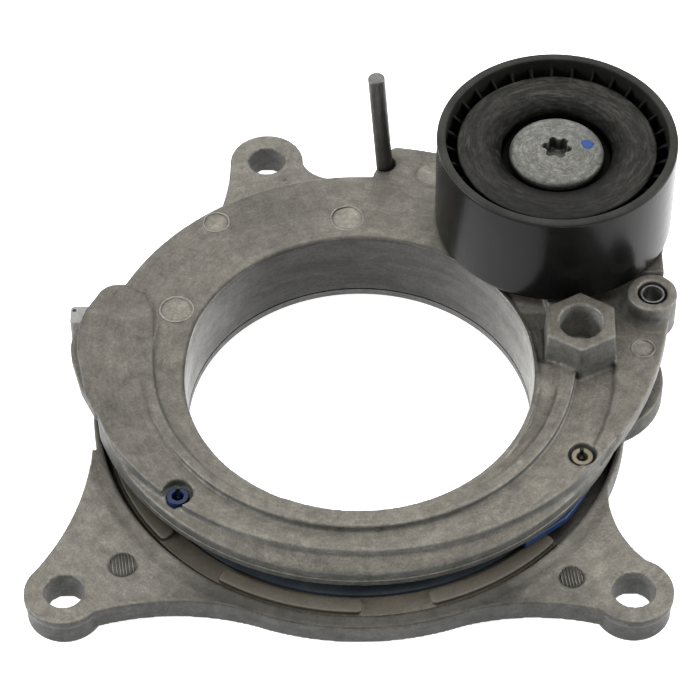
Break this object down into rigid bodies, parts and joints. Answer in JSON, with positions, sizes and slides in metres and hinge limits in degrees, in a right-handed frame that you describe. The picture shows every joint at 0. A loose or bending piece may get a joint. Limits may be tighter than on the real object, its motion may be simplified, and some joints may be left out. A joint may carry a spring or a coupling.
{
  "type": "belt tensioner idler",
  "caption": "Ring-type belt tensioner: a bolted cast base, a cast arm turning about a large bore, a smooth idler pulley on a bolt, and a locking pin.",
  "frame": {"origin": "on the ring axis, in the mounting face under the three ears", "axes": "+Z along the ring axis away from the mounting face, +X from the left front ear towards the right front ear, +Y towards the rear ear"},
  "size_m": [0.1741, 0.1763, 0.0586],
  "materials": {
    "cast_aluminium": "as-cast, slightly rough",
    "black_polymer": "moulded, satin",
    "dark_cover": "moulded, fine texture",
    "tan_polymer": "moulded, matt",
    "blue_polymer": "moulded, matt",
    "pale_polymer": "moulded, matt",
    "zinc_steel": "zinc plated",
    "dark_steel": "oiled",
    "bearing_steel": "ground",
    "spring_steel": "blued",
    "seal_rubber": "moulded",
    "bronze_bush": "sliding bush"
  },
  "bodies": {
    "base": {"base_plate": "cast_aluminium", "pivot_bush": "bronze_bush", "thrust_washer": "tan_polymer", "wear_strip_front": "tan_polymer", "wear_strip_rear": "tan_polymer", "bow_spring": "spring_steel", "spring_anchor_pin": "dark_steel", "stop_bumper": "pale_polymer"},
    "arm": {"arm_casting": "cast_aluminium", "retaining_ring": "dark_steel", "spring_drive_pin": "dark_steel", "damper_band": "blue_polymer", "blue_peg": "blue_polymer", "tan_peg": "tan_polymer", "boss_sleeve": "dark_steel", "thread_insert": "dark_steel", "pulley_bolt": "zinc_steel", "bolt_washer": "zinc_steel", "dust_cap": "dark_cover", "rear_dust_shield": "dark_steel", "bearing_inner_ring": "bearing_steel"},
    "pulley": {"pulley_wheel": "black_polymer", "bearing_outer_ring": "bearing_steel", "bearing_seal_front": "seal_rubber", "bearing_seal_rear": "seal_rubber"},
    "ball_set": {"bearing_balls": "bearing_steel", "bearing_cage": "black_polymer"},
    "locking_pin": {"locking_pin": "dark_steel"}
  },
  "joints": [
    {"name": "arm_swing", "type": "hinge", "parent": "base", "child": "arm", "pos_m": [0, 0, 0.012], "axis": [0, 0, 1], "range_deg": [0, 35]},
    {"name": "pulley_spin", "type": "hinge", "parent": "arm", "child": "pulley", "pos_m": [0.05415, 0.0544, 0.04], "axis": [0, 0, 1], "continuous": true},
    {"name": "ball_orbit", "type": "hinge", "parent": "arm", "child": "ball_set", "pos_m": [0.05415, 0.0544, 0.0393], "axis": [0, 0, 1], "continuous": true},
    {"name": "pin_pull", "type": "slide", "parent": "arm", "child": "locking_pin", "axis": [-0.0678, 0, 0.9977], "range_m": [0, 0.045]}
  ],
  "couplings": [
    {"joint": "ball_orbit", "follows": "pulley_spin", "ratio": 0.636}
  ]
}
